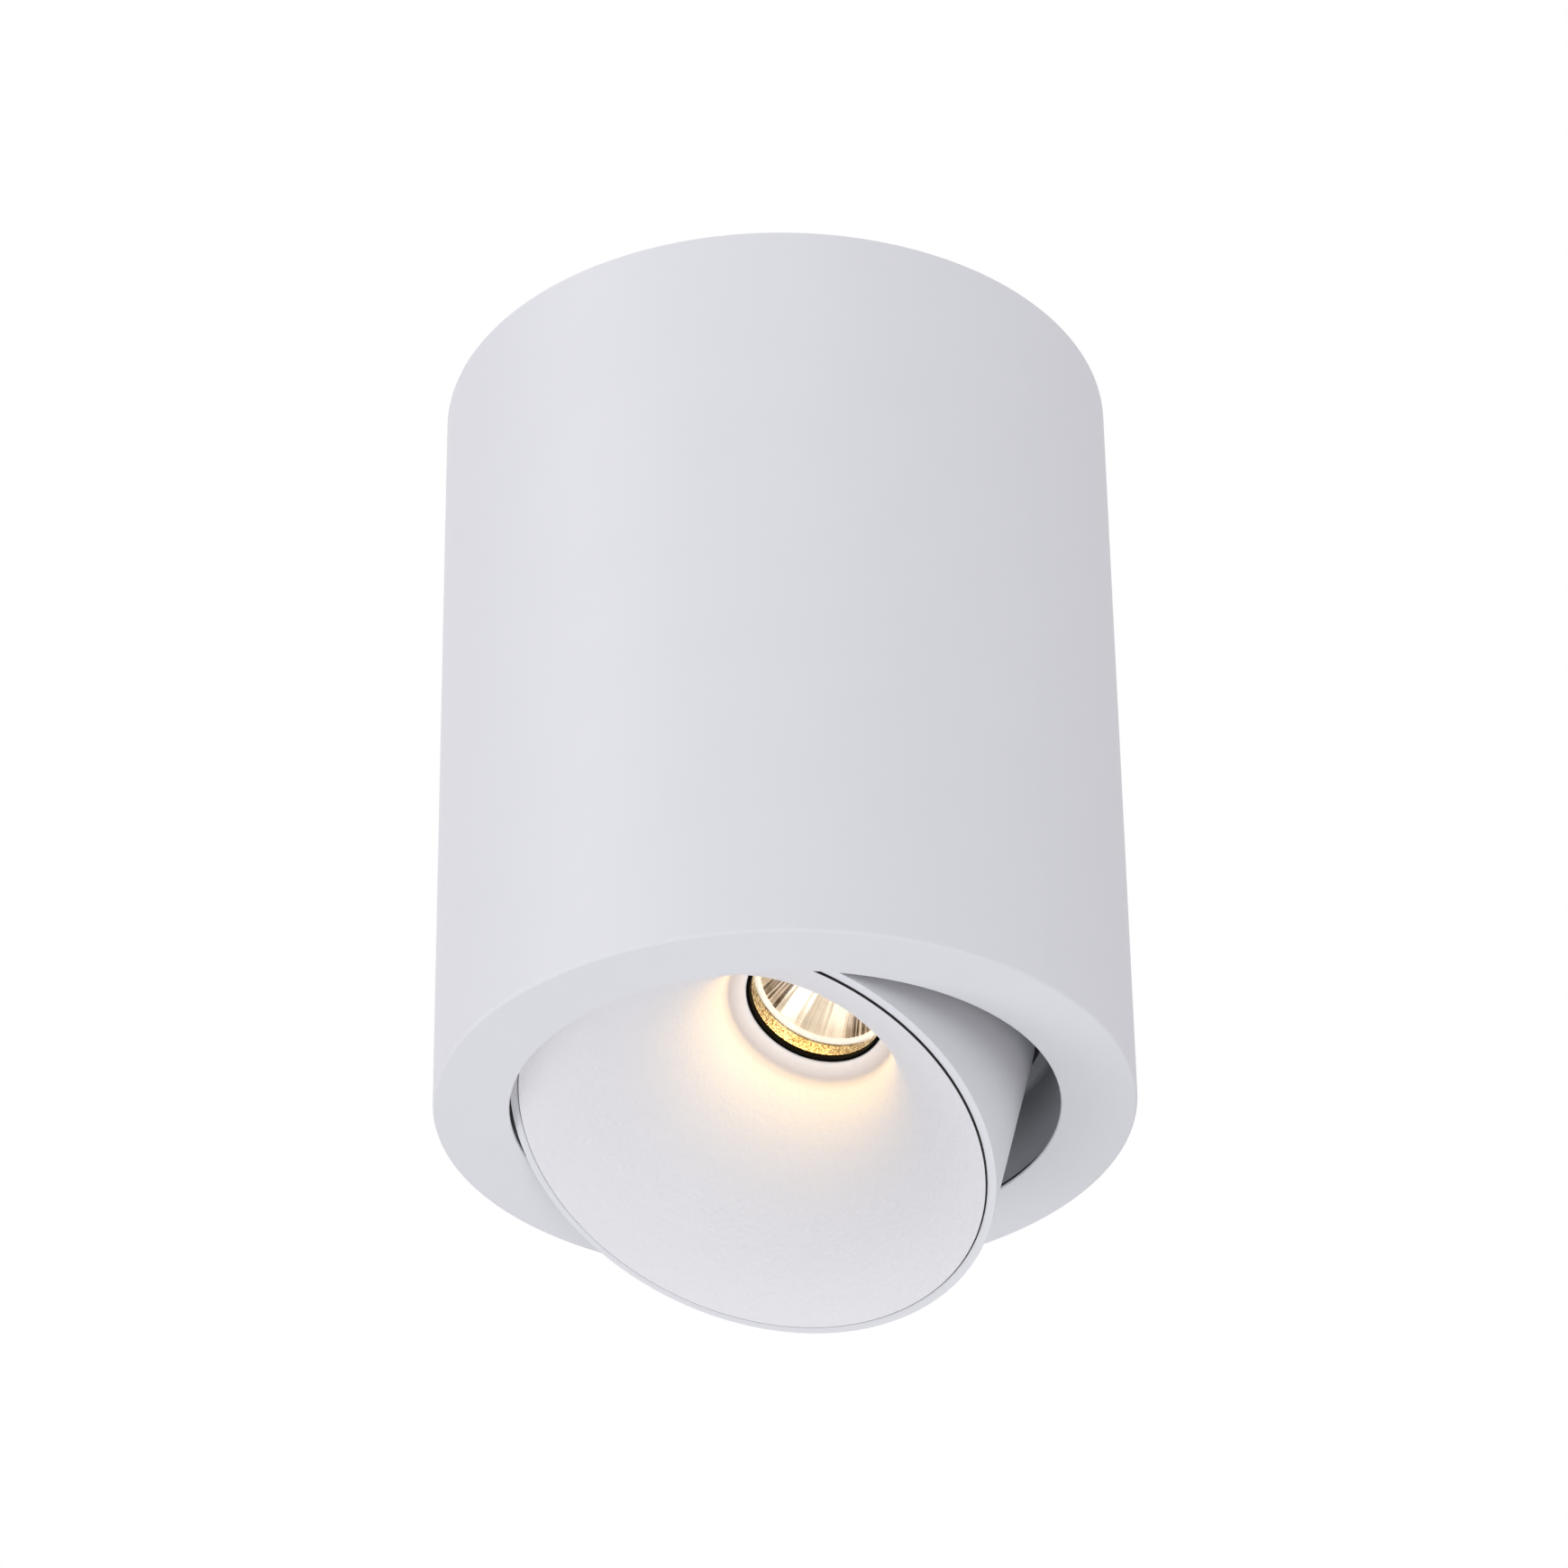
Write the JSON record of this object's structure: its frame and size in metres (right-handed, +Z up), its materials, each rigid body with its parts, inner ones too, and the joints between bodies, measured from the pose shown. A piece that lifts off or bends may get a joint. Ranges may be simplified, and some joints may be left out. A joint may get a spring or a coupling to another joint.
{
  "type": "surface mounted ceiling spotlight",
  "caption": "White tube-shaped ceiling light with a flush lamp head that swivels and tilts out of its lower opening, with a flared white reflector round a recessed light chip.",
  "frame": {"origin": "centre of the ceiling plate's top face, where the light meets the ceiling", "axes": "+Z up into the ceiling; -Y the way the lamp head leans at rest; X along its tilt pivots"},
  "size_m": [0.118, 0.118, 0.1672],
  "materials": {
    "white_paint": "matte white powder coat on aluminium",
    "reflector_white": "fine moulded texture",
    "ring_grey": "matte grey paint on cast aluminium",
    "black_rubber": "matte",
    "gold_collar": "polished gold",
    "clear_lens": "clear",
    "mirror_cup": "polished bright facets",
    "white_plastic": "moulded",
    "nylon": "natural nylon",
    "chip_board": "satin",
    "phosphor": "translucent yellow gel",
    "pad_grey": "soft matte",
    "sink_aluminium": "bead blasted",
    "zinc_steel": "zinc plated",
    "screw_steel": "zinc plated",
    "brass": "turned",
    "circuit_green": "solder mask",
    "coil_yellow": "taped",
    "capacitor_black": "sleeved",
    "lead_brown": "insulation",
    "lead_blue": "insulation",
    "lead_green": "insulation",
    "lead_grey": "round sheath"
  },
  "bodies": {
    "housing": {"housing": "white_paint", "ceiling_plate": "zinc_steel", "housing_set_screws": "screw_steel", "cable_grommet": "black_rubber", "gear_tray": "zinc_steel", "tray_posts": "zinc_steel", "post_top_screws": "screw_steel", "post_bottom_screws": "screw_steel", "tray_grommet": "black_rubber", "driver_case": "white_plastic", "driver_lid": "white_plastic", "driver_board": "circuit_green", "driver_transformer": "coil_yellow", "driver_capacitors": "capacitor_black", "driver_screws": "screw_steel", "terminal_block": "white_plastic", "terminal_sleeves": "brass", "terminal_clamp_screws": "screw_steel", "terminal_fixing_screws": "screw_steel", "earth_tag": "brass", "earth_screw": "screw_steel", "live_lead": "lead_brown", "neutral_lead": "lead_blue", "earth_lead": "lead_green", "lamp_lead_upper": "lead_grey", "slide_ring": "nylon", "ring_keepers": "zinc_steel", "keeper_screws": "screw_steel", "swivel_stop_pin": "screw_steel"},
    "swivel": {"swivel_ring": "ring_grey", "friction_washers": "nylon", "spring_washers": "screw_steel", "lamp_lead_middle": "lead_grey"},
    "head": {"head_can": "white_paint", "reflector": "reflector_white", "aperture_gasket": "black_rubber", "lens_collar": "gold_collar", "lens": "clear_lens", "optic_cup": "mirror_cup", "cob_holder": "white_plastic", "cob_holder_screws": "screw_steel", "led_board": "chip_board", "led_phosphor": "phosphor", "thermal_pad": "pad_grey", "heat_sink": "sink_aluminium", "heat_sink_screws": "screw_steel", "pivot_screw": "screw_steel", "pivot_bush": "brass", "lamp_lead_lower": "lead_grey"}
  },
  "joints": [
    {"name": "swivel", "type": "hinge", "parent": "housing", "child": "swivel", "pos_m": [0, 0, -0.14], "axis": [0, 0, 1], "range_deg": [-175, 175]},
    {"name": "tilt", "type": "hinge", "parent": "swivel", "child": "head", "pos_m": [0, -0.022, -0.1263], "axis": [-1, 0, 0], "range_deg": [-26.5, 1.5]}
  ]
}
